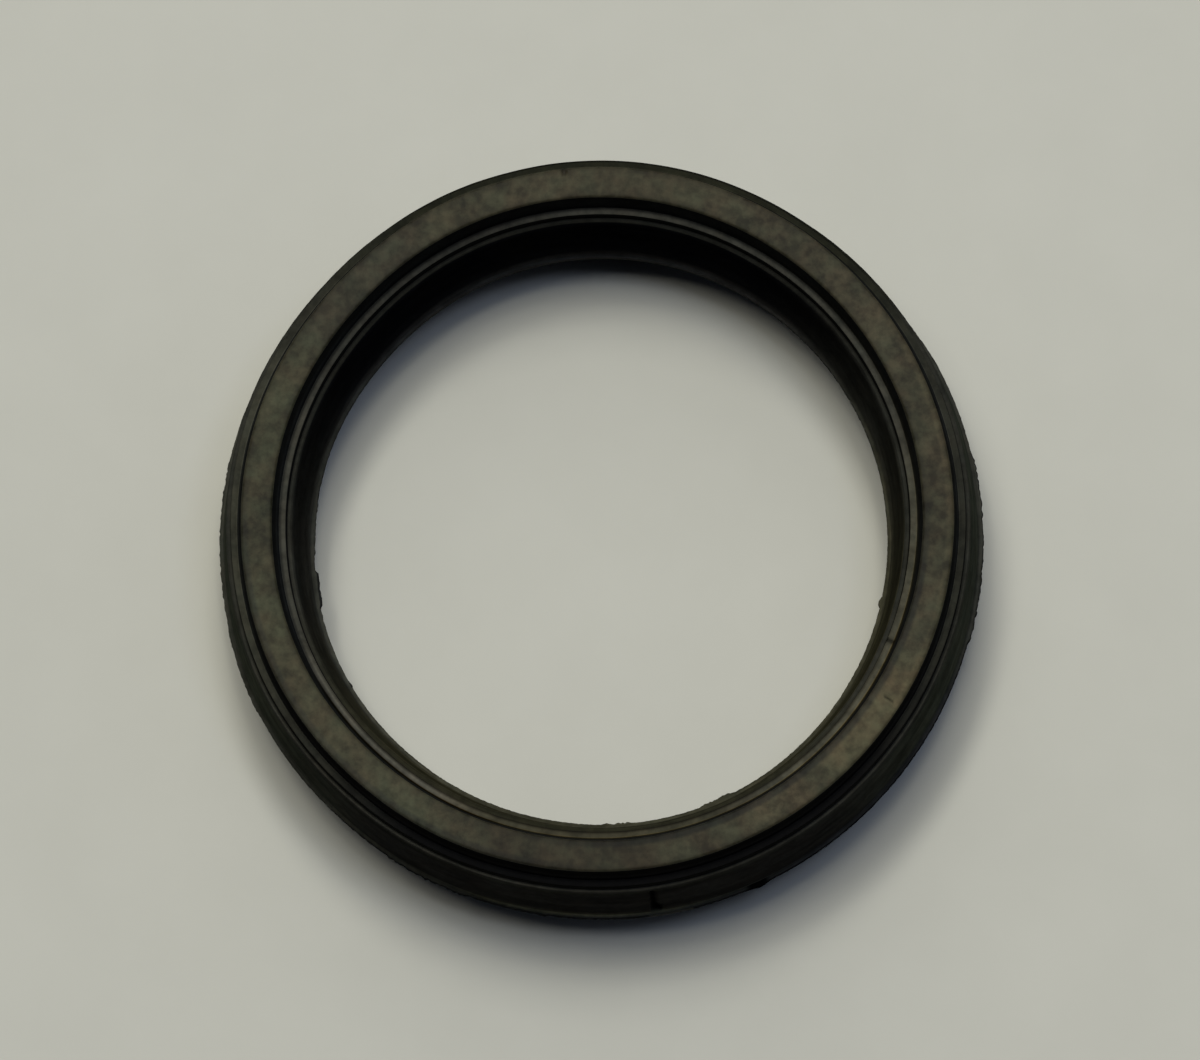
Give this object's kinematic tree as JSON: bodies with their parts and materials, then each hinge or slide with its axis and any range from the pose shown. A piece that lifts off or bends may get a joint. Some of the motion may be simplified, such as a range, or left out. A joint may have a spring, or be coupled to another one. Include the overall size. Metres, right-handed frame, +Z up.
{
  "type": "spark plug tube seal",
  "caption": "Moulded black rubber ring with a flat top land, stepped shoulders, spreading walls and a fin of flash round the middle, which seals a cover against a spark plug tube.",
  "frame": {"origin": "centre of the ring's flat underside", "axes": "+Z up along the ring's axis, from the underside to the top land"},
  "size_m": [0.04, 0.04, 0.012],
  "materials": {
    "black_rubber": "moulded matt black rubber with a dull sheen on the top land"
  },
  "bodies": {
    "root": {"seal_ring": "black_rubber"}
  },
  "joints": []
}
